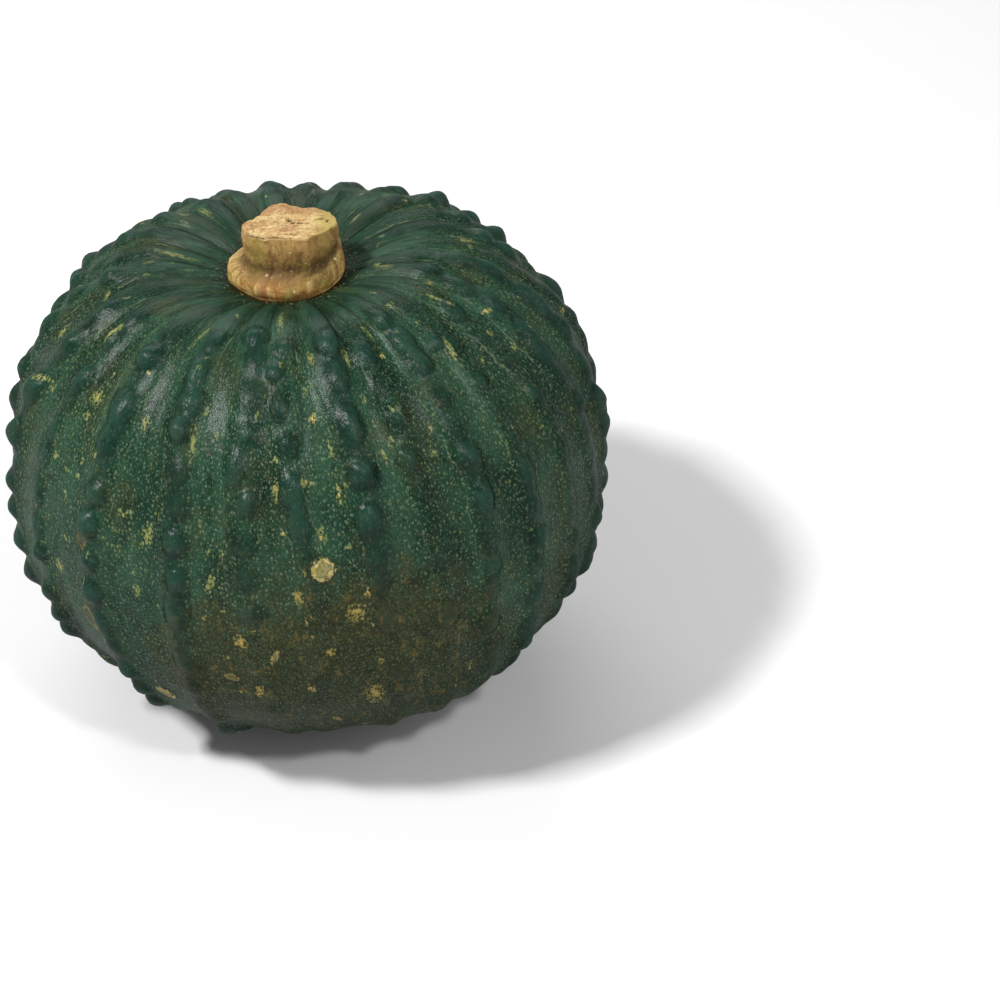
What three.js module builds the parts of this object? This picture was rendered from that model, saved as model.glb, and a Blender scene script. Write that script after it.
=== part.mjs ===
// A kabocha squash: one squat, warty, dark green fruit with its cut, corky stem.
// Millimetres, +Z up. The origin lies on the resting surface, below the middle of the squash.
// -Y is the front. The fruit leans a little towards -X, and rests on its blossom end.
import * as THREE from "three";

// --- The fruit's plain shape, about its own centre and axis ---
const EQUATOR_RADIUS = 92.8;
const HALF_HEIGHT_ABOVE = 78.5;
const HALF_HEIGHT_BELOW = 78.0;
const SQUARENESS = 2.33; // 2 is an ellipse, and more is squarer
const STEM_HOLLOW = { depth: 11.9, reach: 25.2 }; // the hollow round the stem, reach in degrees
const BLOSSOM_HOLLOW = { depth: 5, reach: 7.4 }; // the small hollow under the fruit
const LEAN = THREE.MathUtils.degToRad(-3.5);
const CENTRE = new THREE.Vector3(0, -0.5, 76); // above the resting surface, which flattens the fruit's base

// Broad swells and dents: longitude and angle from the stem in degrees, spread and height in mm.
// Longitude 0 is the front and 90 is +X.
const SWELLS = [
  { longitude: -145, fromStem: 46, spread: 14, height: -1.2 },
  { longitude: -124, fromStem: 46, spread: 20, height: 1.0 },
  { longitude: -106, fromStem: 60, spread: 16, height: -1.8 },
  { longitude: -82, fromStem: 75, spread: 17, height: -1.6 },
  { longitude: -70, fromStem: 97, spread: 20, height: 0.8 },
  { longitude: -48, fromStem: 116, spread: 20, height: -2.2 },
  { longitude: 170, fromStem: 42, spread: 26, height: -2.4 },
  { longitude: 113, fromStem: 55, spread: 16, height: -1.8 },
  { longitude: 100, fromStem: 68, spread: 14, height: 1.0 },
  { longitude: 33, fromStem: 124, spread: 22, height: 2.0 },
];

// --- The ridges, which run from the stem to the blossom end, and the bumps strung along them ---
// Each ridge: longitude, strength near the stem, at the middle and below it, and width.
const RIDGES = [
  [-88, 0.9, 1.1, 1.2, 1.0],
  [-71, 0.8, 1.3, 1.2, 1.1],
  [-57, 0.6, 0.7, 1.1, 0.9],
  [-38, 0.8, 1.2, 1.0, 1.2],
  [-21, 1.0, 1.2, 1.0, 0.9],
  [-6, 1.2, 0.9, 0.4, 1.2],
  [4, 0.7, 0.8, 0.3, 0.8],
  [18, 1.2, 1.2, 0.6, 1.1],
  [29, 0.5, 0.6, 0.6, 0.8],
  [40, 1.1, 1.0, 0.8, 1.0],
  [51, 0.6, 0.8, 0.9, 0.8],
  [63, 0.5, 0.7, 0.9, 0.8],
  [75, 1.0, 1.1, 1.0, 1.1],
  [87, 0.9, 1.2, 1.2, 1.1],
  [99, 0.6, 1.0, 1.0, 0.9],
  [110, 1.0, 1.0, 1.0, 1.0],
  [122, 0.6, 0.8, 0.9, 0.9],
  [136, 1.1, 1.2, 1.1, 1.2],
  [150, 0.6, 0.9, 1.0, 0.9],
  [163, 1.0, 1.1, 1.0, 1.1],
  [176, 0.6, 0.8, 0.9, 0.9],
  [189, 1.1, 1.1, 1.0, 1.1],
  [203, 0.7, 0.9, 1.0, 0.9],
  [216, 1.0, 1.1, 1.1, 1.1],
  [230, 0.6, 0.9, 0.9, 0.9],
  [244, 1.0, 1.2, 1.1, 1.1],
  [258, 0.6, 0.9, 1.0, 0.9],
];
const RIDGE_HEIGHT = { stem: 1.9, middle: 1.5, blossom: 0.2 };
const RIDGE_HALF_WIDTH = 5.2;
const RIDGE_WANDER = 1.5; // how far a ridge line strays sideways
const BUMP_SPACING = 10.2;
const FIRST_BUMP = 24; // degrees from the stem
const BUMPS_PER_RIDGE = 22;
const BUMP_HEIGHT = [0.3, 3.0];
const HEIGHT_POWER = 1.7; // above 1, low bumps are commoner than high ones
const BUMP_HALF_LENGTH = [4.2, 7.4];
const BUMP_HALF_WIDTH = [3.9, 5.6];
const BUMP_SHIFT = { along: 1.8, across: 1.3 };
const SEED = 20251;

// Bumps with a place and size of their own: nearest ridge, degrees from the stem, sideways shift,
// height, half length and half width.
const NOTED_BUMPS = [
  [-88, 37, 0, 2.2, 5.6, 5.2],
  [-88, 46, -2, 1.8, 5.0, 4.8],
  [-88, 54, 0, 2.0, 5.6, 4.8],
  [-71, 39, 0, 1.4, 6.5, 4.4],
  [-71, 48, 1, 2.2, 6.8, 4.8],
  [-71, 60, 0, 3.0, 6.2, 6.0],
  [-71, 81, -2, 2.5, 4.9, 5.2],
  [-71, 87, -2, 2.4, 4.9, 5.2],
  [-71, 94, 0, 2.4, 5.2, 5.0],
  [-57, 50, 0, 1.5, 5.2, 5.0],
  [-57, 97, 0, 2.2, 5.0, 5.0],
  [-57, 103, 1, 2.6, 4.8, 5.0],
  [-38, 51, 0, 2.2, 6.4, 6.0],
  [-38, 58, -1, 1.7, 5.6, 4.6],
  [-38, 107, 0, 2.4, 5.0, 5.0],
  [-38, 113, 0, 2.6, 5.0, 5.2],
  [-21, 34, 1, 1.0, 6.0, 3.2],
  [-21, 41, 0, 2.0, 6.4, 4.2],
  [-21, 72, 0, 2.2, 5.2, 5.0],
  [-21, 86, 0, 1.8, 7.6, 5.2],
  [-21, 98, 0, 1.7, 5.6, 5.2],
  [-6, 58, -3, 1.5, 6.6, 3.8],
  [-6, 64, 2, 1.9, 4.8, 4.2],
  [4, 40, -3, 1.7, 4.6, 3.6],
  [4, 47, -2, 1.2, 5.0, 3.6],
  [4, 54, 0, 1.3, 4.4, 4.0],
  [18, 43, 1, 1.4, 7.0, 4.0],
  [18, 52, 1, 1.5, 7.4, 4.4],
  [18, 61, 0, 2.7, 5.0, 5.0],
  [40, 34, -1, 1.5, 6.0, 4.0],
  [51, 43, -4, 1.8, 5.0, 4.4],
  [75, 45, 2, 2.0, 7.2, 5.0],
  [75, 54, 1, 1.8, 6.0, 4.8],
  [87, 43, 2, 2.0, 7.8, 5.0],
  [87, 52, 0, 2.2, 7.4, 5.0],
  [87, 62, 1, 2.2, 6.4, 5.2],
  [110, 66, 0, 2.4, 7.6, 5.6],
  [122, 55, 0, 3.0, 5.4, 5.4],
  [136, 41, -3, 2.2, 6.2, 6.0],
  [163, 43, 0, 1.8, 6.0, 5.0],
  [176, 41, 0, 1.8, 4.6, 4.4],
  [203, 42, 0, 1.6, 7.4, 5.6],
  [216, 42, 0, 2.2, 4.6, 4.6],
  [244, 52, 0, 2.6, 5.0, 5.2],
];

// --- The stem, in the fruit's own frame. Outlines are [direction in degrees from +X, radius] ---
const SEAT_HEIGHT = 66.3; // the flat under the stem, above the fruit's centre
const STEM_GAP = 0.3;
const STEM_HEIGHT = 18.8;
const COLLAR_OUTLINE = [
  [12, 18.0], [60, 16.8], [110, 16.6], [150, 17.2], [188, 18.0],
  [224, 17.0], [253, 18.0], [273, 18.8], [305, 19.6], [338, 19.4],
];
const NECK_OUTLINE = [
  [28, 14.0], [76, 10.4], [112, 11.2], [150, 11.6], [190, 14.5],
  [216, 14.4], [258, 12.6], [307, 14.9], [347, 15.0],
];
const NECK_OFFSET = new THREE.Vector2(2.9, -1.8); // the cut end stands off the seat's middle
const FOOT_SIZE = 0.88; // the foot in the seat, against the collar's outline

// Up the stem: height, how far from collar (0) to neck (1), and size of that outline.
const STEM_LEVELS = [
  { height: 0.0, neck: 0.0, size: FOOT_SIZE },
  { height: 1.4, neck: 0.0, size: 0.91 },
  { height: 2.5, neck: 0.0, size: 0.955 },
  { height: 3.5, neck: 0.0, size: 0.98 },
  { height: 4.7, neck: 0.0, size: 0.975 },
  { height: 5.8, neck: 0.1, size: 0.965 },
  { height: 6.6, neck: 0.32, size: 0.965 },
  { height: 7.3, neck: 0.6, size: 0.965 },
  { height: 8.2, neck: 0.85, size: 0.98 },
  { height: 9.6, neck: 1.0, size: 0.99 },
  { height: 12.6, neck: 1.0, size: 0.99 },
  { height: 16.0, neck: 1.0, size: 1.0 },
  { height: 18.2, neck: 1.0, size: 0.995 },
];
const COLLAR_CLIMB = { heading: 20, spread: 46, height: 4.6 }; // where the collar climbs up the neck
const CUT_CORNER = { heading: 112, spread: 30, height: 1.8 }; // where the cut's edge was torn up
const CUT_RINGS = [0.95, 0.78, 0.58, 0.36, 0.16];
const CUT_TILT = new THREE.Vector2(-0.005, -0.11); // rise of the cut per mm along X and Y
const CUT_ROUGHNESS = 0.45;
const CUT_START = 0.9 * STEM_HEIGHT; // levels above this belong to the cut
const STEM_COLUMNS = 60;

// --- Mesh fineness ---
const ROWS_BELOW_SEAT = 4;
const FIRST_FULL_ROW = FIRST_BUMP;
const BLOSSOM_RINGS = [30, 24.5, 19, 14, 10, 6.5]; // distances from the axis
const LEAST_ROW_STEP = THREE.MathUtils.degToRad(1.2);

const radians = THREE.MathUtils.degToRad;
const lerp = THREE.MathUtils.lerp;
const smooth = THREE.MathUtils.smoothstep;

// Mulberry32: a small seeded generator of numbers from 0 to 1.
function makeRandom(seed) {
  let state = seed >>> 0;
  return () => {
    state = (state + 0x6d2b79f5) >>> 0;
    let t = state;
    t = Math.imul(t ^ (t >>> 15), t | 1);
    t ^= t + Math.imul(t ^ (t >>> 7), t | 61);
    return ((t ^ (t >>> 14)) >>> 0) / 4294967296;
  };
}

// Distance from the centre to the fruit's plain surface, at an angle from the stem in radians.
function plainRadius(fromStem) {
  const halfHeight = fromStem < Math.PI / 2 ? HALF_HEIGHT_ABOVE : HALF_HEIGHT_BELOW;
  const across = Math.abs(Math.sin(fromStem)) / EQUATOR_RADIUS;
  const along = Math.abs(Math.cos(fromStem)) / halfHeight;
  const round = (across ** SQUARENESS + along ** SQUARENESS) ** (-1 / SQUARENESS);
  const stem = STEM_HOLLOW.depth * Math.exp(-((fromStem / radians(STEM_HOLLOW.reach)) ** 4));
  const fromBlossom = (Math.PI - fromStem) / radians(BLOSSOM_HOLLOW.reach);
  return round - stem - BLOSSOM_HOLLOW.depth * Math.exp(-(fromBlossom ** 2));
}

// Unit vector from the centre, for a longitude and an angle from the stem in radians.
function direction(longitude, fromStem) {
  const side = Math.sin(fromStem);
  return new THREE.Vector3(side * Math.sin(longitude), -side * Math.cos(longitude), Math.cos(fromStem));
}

function swellAt(longitude, fromStem) {
  const here = direction(longitude, fromStem);
  return SWELLS.reduce((sum, swell) => {
    const there = direction(radians(swell.longitude), radians(swell.fromStem));
    const away = here.angleTo(there) * EQUATOR_RADIUS;
    return sum + swell.height * Math.exp(-((away / swell.spread) ** 2));
  }, 0);
}

// Signed difference between two longitudes, the short way round.
function turn(from, to) {
  return Math.atan2(Math.sin(to - from), Math.cos(to - from));
}

const MERIDIAN_RADIUS = 88; // mm along a meridian for each radian, near enough
const BUMP_STEP = BUMP_SPACING / MERIDIAN_RADIUS;

// Every ridge: its place, strengths, width, the room on both sides, its wander and its string of bumps.
function makeRidges() {
  const random = makeRandom(SEED);
  const span = ([low, high]) => lerp(low, high, random());
  const made = RIDGES.map(([degrees, nearStem, middle, low, width], index) => {
    const longitude = radians(degrees);
    const before = turn(radians(RIDGES.at(index - 1)[0]), longitude);
    const after = turn(longitude, radians(RIDGES[(index + 1) % RIDGES.length][0]));
    const phase = (random() - 0.5) * BUMP_STEP;
    const waves = [random() * 2 * Math.PI, random() * 2 * Math.PI];
    const bumps = Array.from({ length: BUMPS_PER_RIDGE }, (_, number) => {
      const shift = ((random() * 2 - 1) * BUMP_SHIFT.along) / MERIDIAN_RADIUS;
      const fromStem = radians(FIRST_BUMP) + (number + 0.5) * BUMP_STEP + phase + shift;
      const across = (random() * 2 - 1) * BUMP_SHIFT.across;
      const height = lerp(BUMP_HEIGHT[0], BUMP_HEIGHT[1], random() ** HEIGHT_POWER);
      const halfLength = span(BUMP_HALF_LENGTH);
      return { fromStem, across, height, halfLength, halfWidth: span(BUMP_HALF_WIDTH) };
    });
    return { longitude, nearStem, middle, low, width, before, after, waves, bumps };
  });
  for (const ridge of made) {
    for (const bump of ridge.bumps) bump.height *= strengthAt(ridge, bump.fromStem) * bumpFade(bump.fromStem);
  }
  for (const [degrees, place, across, height, halfLength, halfWidth] of NOTED_BUMPS) {
    const fromStem = radians(place);
    const { bumps } = made.find(({ longitude }) => Math.abs(longitude - radians(degrees)) < 0.01);
    const away = bumps.map((bump) => Math.abs(bump.fromStem - fromStem));
    bumps[away.indexOf(Math.min(...away))] = { fromStem, across, height, halfLength, halfWidth };
  }
  return made;
}

function strengthAt(ridge, fromStem) {
  const upper = lerp(ridge.nearStem, ridge.middle, smooth(fromStem, radians(28), radians(52)));
  return lerp(upper, ridge.low, smooth(fromStem, radians(70), radians(94)));
}

// How much of their height the bumps keep: they fade out towards both ends.
function bumpFade(fromStem) {
  const upper = smooth(fromStem, radians(25), radians(40));
  return upper * (1 - 0.9 * smooth(fromStem, radians(124), radians(154)));
}

const ridges = makeRidges();

// The longitude of a ridge line, which wanders a little on its way down.
function ridgeLine(ridge, fromStem) {
  const upper = smooth(fromStem, radians(20), radians(50));
  const lower = smooth(Math.PI - fromStem, radians(20), radians(50));
  const stray = Math.sin(3.1 * fromStem + ridge.waves[0]) + 0.6 * Math.sin(7.3 * fromStem + ridge.waves[1]);
  return ridge.longitude + (upper * lower * RIDGE_WANDER * stray) / EQUATOR_RADIUS;
}

function ridgeHeight(fromStem) {
  const upper = lerp(RIDGE_HEIGHT.stem, RIDGE_HEIGHT.middle, smooth(fromStem, radians(26), radians(55)));
  const start = smooth(fromStem, radians(15), radians(22));
  return lerp(upper, RIDGE_HEIGHT.blossom, smooth(fromStem, radians(120), radians(156))) * start;
}

// A ridge's profile: round lobes that meet in creases near the stem, then a band with steep sides.
function ridgeProfile(ridge, fromStem, across, ring) {
  const room = (across < 0 ? ridge.before : ridge.after) * ring;
  const lobe = Math.max(0, 1 - ((2 * across) / room) ** 2);
  const halfWidth = ridge.width * Math.min(RIDGE_HALF_WIDTH, 0.2 * (ridge.before + ridge.after) * ring);
  const band = Math.exp(-(Math.abs(across / halfWidth) ** 3));
  return lerp(lobe, band, smooth(fromStem, radians(26), radians(46)));
}

// Height of ridges and bumps over the plain surface.
function reliefAt(longitude, fromStem) {
  const ring = plainRadius(fromStem) * Math.sin(fromStem);
  let relief = 0;
  for (const ridge of ridges) {
    const across = turn(ridgeLine(ridge, fromStem), longitude) * ring;
    if (Math.abs(across) > 3 * RIDGE_HALF_WIDTH) continue;
    const strength = strengthAt(ridge, fromStem) * ridgeHeight(fromStem);
    relief += strength * ridgeProfile(ridge, fromStem, across, ring);
    for (const bump of ridge.bumps) {
      const along = ((fromStem - bump.fromStem) * MERIDIAN_RADIUS) / bump.halfLength;
      const halfWidth = Math.min(bump.halfWidth, 0.28 * (ridge.before + ridge.after) * ring);
      const away = along * along + ((across - bump.across) / halfWidth) ** 2;
      if (away < 1) relief += bump.height * (1 - away) ** 1.5;
    }
  }
  return relief;
}

// A point of the skin, in the fruit's own frame, flattened where it would pass the resting surface.
function skinPoint(longitude, fromStem) {
  const radius = plainRadius(fromStem) + swellAt(longitude, fromStem) + reliefAt(longitude, fromStem);
  const point = direction(longitude, fromStem).multiplyScalar(radius);
  const up = new THREE.Vector3(-Math.sin(LEAN), 0, Math.cos(LEAN));
  const above = CENTRE.z + point.dot(up);
  return above < 0 ? point.addScaledVector(up, -above) : point;
}

// Radius of an outline at a direction in radians: smooth between its points.
function outlineRadius(outline, heading) {
  const degrees = THREE.MathUtils.euclideanModulo(THREE.MathUtils.radToDeg(heading), 360);
  const next = outline.findIndex(([at]) => at > degrees);
  const after = outline[next < 0 ? 0 : next];
  const before = outline[((next < 0 ? outline.length : next) - 1 + outline.length) % outline.length];
  const gap = THREE.MathUtils.euclideanModulo(after[0] - before[0], 360);
  const share = THREE.MathUtils.euclideanModulo(degrees - before[0], 360) / gap;
  return lerp(before[1], after[1], (1 - Math.cos(Math.PI * share)) / 2);
}

// The stem's foot, plus a gap: the hole that it leaves in the skin, as a radius by longitude.
function seatRadius(longitude) {
  return FOOT_SIZE * outlineRadius(COLLAR_OUTLINE, longitude - Math.PI / 2) + STEM_GAP;
}

// One closed mesh from rings of points, first and last ring closed by a point each, from top to bottom.
function closedMesh(topPoint, rings, bottomPoint) {
  const columns = rings[0].length;
  const points = [topPoint, ...rings.flat(), bottomPoint];
  const at = (ring, column) => 1 + ring * columns + (column % columns);
  const index = [];
  for (let column = 0; column < columns; column += 1) {
    index.push(0, at(0, column), at(0, column + 1));
    for (let ring = 0; ring + 1 < rings.length; ring += 1) {
      const [a, b] = [at(ring, column), at(ring, column + 1)];
      const [c, d] = [at(ring + 1, column), at(ring + 1, column + 1)];
      if (points[a].distanceTo(points[d]) < points[b].distanceTo(points[c])) index.push(a, c, d, a, d, b);
      else index.push(a, c, b, b, c, d);
    }
    index.push(points.length - 1, at(rings.length - 1, column + 1), at(rings.length - 1, column));
  }
  const geometry = new THREE.BufferGeometry();
  geometry.setFromPoints(points);
  geometry.setIndex(index);
  geometry.computeVertexNormals();
  return geometry;
}

// Four columns of points for each ridge: its crest, its two feet and the middle of the panel after it.
function columnLongitudes(fromStem) {
  const ring = plainRadius(fromStem) * Math.sin(fromStem);
  const lines = ridges.map((ridge) => ridgeLine(ridge, fromStem));
  return ridges.flatMap((ridge, index) => {
    const foot = (0.8 * ridge.width * RIDGE_HALF_WIDTH) / ring;
    const line = lines[index];
    const footBefore = line - Math.min(foot, 0.27 * ridge.before);
    const footAfter = line + Math.min(foot, 0.27 * ridge.after);
    return [footBefore, line, footAfter, line + turn(line, lines[(index + 1) % ridges.length]) / 2];
  });
}

// How far a row of points is moved along the meridian, so that it meets the bumps of each ridge.
function rowShifts(row) {
  const number = (row - 1) / 2;
  const low = Math.max(0, Math.floor(number));
  const high = Math.min(BUMPS_PER_RIDGE - 1, Math.ceil(number));
  const even = radians(FIRST_BUMP) + (number + 0.5) * BUMP_STEP;
  const shifts = ridges.map(({ bumps }) => (bumps[low].fromStem + bumps[high].fromStem) / 2 - even);
  return shifts.flatMap((shift, index) => {
    const next = shifts[(index + 1) % ridges.length];
    return [shift, shift, shift, (shift + next) / 2];
  });
}

function fruitGeometry() {
  const seatRing = (height) => columnLongitudes(radians(14)).map((longitude) => {
    const radius = seatRadius(longitude);
    return new THREE.Vector3(radius * Math.sin(longitude), -radius * Math.cos(longitude), height);
  });
  const rings = [seatRing(SEAT_HEIGHT)];
  const firstFull = radians(FIRST_FULL_ROW);
  for (let row = 0; row < ROWS_BELOW_SEAT; row += 1) {
    rings.push(columnLongitudes(lerp(radians(14), firstFull, row / ROWS_BELOW_SEAT)).map((longitude) => {
      const edge = Math.atan(seatRadius(longitude) / (SEAT_HEIGHT + 1));
      return skinPoint(longitude, lerp(edge, firstFull, row / ROWS_BELOW_SEAT));
    }));
  }
  const lastRidgeRow = Math.PI - Math.asin((BLOSSOM_RINGS[0] + 7) / HALF_HEIGHT_BELOW);
  let reached = rings[0].map(() => 0);
  for (let row = 0; row < 2 * BUMPS_PER_RIDGE; row += 1) {
    const fromStem = firstFull + (row * BUMP_STEP) / 2;
    if (fromStem > lastRidgeRow) break;
    const calm = smooth(fromStem, radians(24), radians(32)) * smooth(lastRidgeRow - fromStem, 0, radians(12));
    const places = rowShifts(row).map((shift) => fromStem + calm * shift);
    reached = places.map((place, column) => Math.max(place, reached[column] + LEAST_ROW_STEP));
    rings.push(columnLongitudes(fromStem).map((longitude, column) => skinPoint(longitude, reached[column])));
  }
  for (const distance of BLOSSOM_RINGS) {
    const fromStem = Math.PI - Math.asin(distance / HALF_HEIGHT_BELOW);
    rings.push(columnLongitudes(fromStem).map((longitude) => skinPoint(longitude, fromStem)));
  }
  return closedMesh(new THREE.Vector3(0, 0, SEAT_HEIGHT), rings, skinPoint(0, Math.PI));
}

// A bell-shaped share round a heading, in radians.
function near(heading, { heading: middle, spread }) {
  return Math.exp(-((turn(radians(middle), heading) / radians(spread)) ** 2));
}

// A ring of the stem's outline, blended from collar to neck.
function stemRing(level) {
  const { height, size } = level;
  const climb = COLLAR_CLIMB.height * smooth(height, 1.5, 6) * smooth(STEM_HEIGHT - height, 3, 10);
  const torn = height > CUT_START ? CUT_CORNER.height * size ** 2 : 0;
  return Array.from({ length: STEM_COLUMNS }, (_, column) => {
    const heading = (column / STEM_COLUMNS) * 2 * Math.PI;
    const collar = outlineRadius(COLLAR_OUTLINE, heading);
    const neck = outlineRadius(NECK_OUTLINE, heading);
    const radius = lerp(collar, neck, level.neck) * size;
    const middle = NECK_OFFSET.clone().multiplyScalar(level.neck * (0.6 + (0.4 * height) / STEM_HEIGHT));
    const x = middle.x + radius * Math.cos(heading);
    const y = middle.y + radius * Math.sin(heading);
    const tilt = height > CUT_START ? CUT_TILT.x * x + CUT_TILT.y * y : 0;
    const z = height + tilt + climb * near(heading, COLLAR_CLIMB) + torn * near(heading, CUT_CORNER);
    return new THREE.Vector3(x, y, z);
  });
}

function stemGeometry() {
  const random = makeRandom(SEED + 1);
  const rings = STEM_LEVELS.map(stemRing);
  for (const size of CUT_RINGS) {
    const ring = stemRing({ height: STEM_HEIGHT, neck: 1, size });
    for (const point of ring) point.z += (random() * 2 - 1) * CUT_ROUGHNESS;
    rings.push(ring);
  }
  rings.reverse();
  const top = new THREE.Vector3(NECK_OFFSET.x, NECK_OFFSET.y, STEM_HEIGHT);
  return closedMesh(top, rings, new THREE.Vector3(0, 0, 0));
}

const skin = new THREE.MeshStandardMaterial({ color: 0x2b4a3c, roughness: 0.45, metalness: 0 });
const cork = new THREE.MeshStandardMaterial({ color: 0xa5824b, roughness: 0.8, metalness: 0 });

const fruit = new THREE.Mesh(fruitGeometry(), skin);
fruit.name = "fruit";

const stem = new THREE.Mesh(stemGeometry(), cork);
stem.name = "stem";
stem.position.set(0, 0, SEAT_HEIGHT + STEM_GAP);

const group = new THREE.Group();
group.position.copy(CENTRE);
group.rotation.y = LEAN;
group.add(fruit, stem);

export default group;
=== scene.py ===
"""A kabocha squash: the finished look of the fruit and its stem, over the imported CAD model.

Lengths in the shape functions are millimetres, as in the part's source, and meshes are handed to
Blender in metres. The skin follows the same formulas as the CAD solid, sampled more finely, so its
ridges and bumps are where the solid's are.
"""
import math

import bpy
import numpy as np
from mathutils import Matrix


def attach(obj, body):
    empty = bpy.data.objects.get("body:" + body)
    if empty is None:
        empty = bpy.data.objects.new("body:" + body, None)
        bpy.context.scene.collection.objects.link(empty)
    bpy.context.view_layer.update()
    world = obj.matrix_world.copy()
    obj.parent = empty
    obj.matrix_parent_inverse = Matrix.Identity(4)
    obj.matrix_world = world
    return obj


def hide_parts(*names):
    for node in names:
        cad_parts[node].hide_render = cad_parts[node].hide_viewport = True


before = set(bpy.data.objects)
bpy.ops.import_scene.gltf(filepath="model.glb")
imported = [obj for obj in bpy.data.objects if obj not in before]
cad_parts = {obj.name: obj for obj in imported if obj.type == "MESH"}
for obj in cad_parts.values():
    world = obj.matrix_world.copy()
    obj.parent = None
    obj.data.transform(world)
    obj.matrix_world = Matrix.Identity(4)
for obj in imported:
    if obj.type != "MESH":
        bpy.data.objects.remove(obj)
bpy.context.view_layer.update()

MM = 0.001

# --- The fruit's plain shape, as in the part's source ---
EQUATOR_RADIUS = 92.8
HALF_HEIGHT_ABOVE = 78.5
HALF_HEIGHT_BELOW = 78.0
SQUARENESS = 2.33
STEM_HOLLOW = (11.9, 25.2)  # depth, reach in degrees
BLOSSOM_HOLLOW = (5.0, 7.4)
LEAN = math.radians(-3.5)
CENTRE = np.array((0.0, -0.5, 76.0))

# Broad swells and dents: longitude, degrees from the stem, spread and height in mm.
SWELLS = [
    (-145, 46, 14, -1.2), (-124, 46, 20, 1.0), (-106, 60, 16, -1.8), (-82, 75, 17, -1.6),
    (-70, 97, 20, 0.8), (-48, 116, 20, -2.2), (170, 42, 26, -2.4), (113, 55, 16, -1.8), (100, 68, 14, 1.0),
    (33, 124, 22, 2.0),
]

# --- The ridges and the bumps strung along them, as in the part's source ---
# Each ridge: longitude, strength near the stem, at the middle and below it, and width.
RIDGES = [
    (-88, 0.9, 1.1, 1.2, 1.0), (-71, 0.8, 1.3, 1.2, 1.1), (-57, 0.6, 0.7, 1.1, 0.9),
    (-38, 0.8, 1.2, 1.0, 1.2), (-21, 1.0, 1.2, 1.0, 0.9), (-6, 1.2, 0.9, 0.4, 1.2),
    (4, 0.7, 0.8, 0.3, 0.8), (18, 1.2, 1.2, 0.6, 1.1), (29, 0.5, 0.6, 0.6, 0.8),
    (40, 1.1, 1.0, 0.8, 1.0), (51, 0.6, 0.8, 0.9, 0.8), (63, 0.5, 0.7, 0.9, 0.8),
    (75, 1.0, 1.1, 1.0, 1.1), (87, 0.9, 1.2, 1.2, 1.1), (99, 0.6, 1.0, 1.0, 0.9),
    (110, 1.0, 1.0, 1.0, 1.0), (122, 0.6, 0.8, 0.9, 0.9), (136, 1.1, 1.2, 1.1, 1.2),
    (150, 0.6, 0.9, 1.0, 0.9), (163, 1.0, 1.1, 1.0, 1.1), (176, 0.6, 0.8, 0.9, 0.9),
    (189, 1.1, 1.1, 1.0, 1.1), (203, 0.7, 0.9, 1.0, 0.9), (216, 1.0, 1.1, 1.1, 1.1),
    (230, 0.6, 0.9, 0.9, 0.9), (244, 1.0, 1.2, 1.1, 1.1), (258, 0.6, 0.9, 1.0, 0.9),
]
RIDGE_HEIGHT = (1.9, 1.5, 0.2)  # near the stem, at the middle and near the blossom end
RIDGE_HALF_WIDTH = 5.2
RIDGE_WANDER = 1.5
BUMP_SPACING = 10.2
FIRST_BUMP = 24
BUMPS_PER_RIDGE = 22
BUMP_HEIGHT = (0.3, 3.0)
BUMP_HALF_LENGTH = (4.2, 7.4)
BUMP_HALF_WIDTH = (3.9, 5.6)
BUMP_SHIFT = (1.8, 1.3)  # along the ridge and across it
SEED = 20251
MERIDIAN_RADIUS = 88  # mm along a meridian for each radian, near enough
HOLLOW_RADIUS = 74.8  # the same, close to the stem
BUMP_STEP = BUMP_SPACING / MERIDIAN_RADIUS

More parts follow.
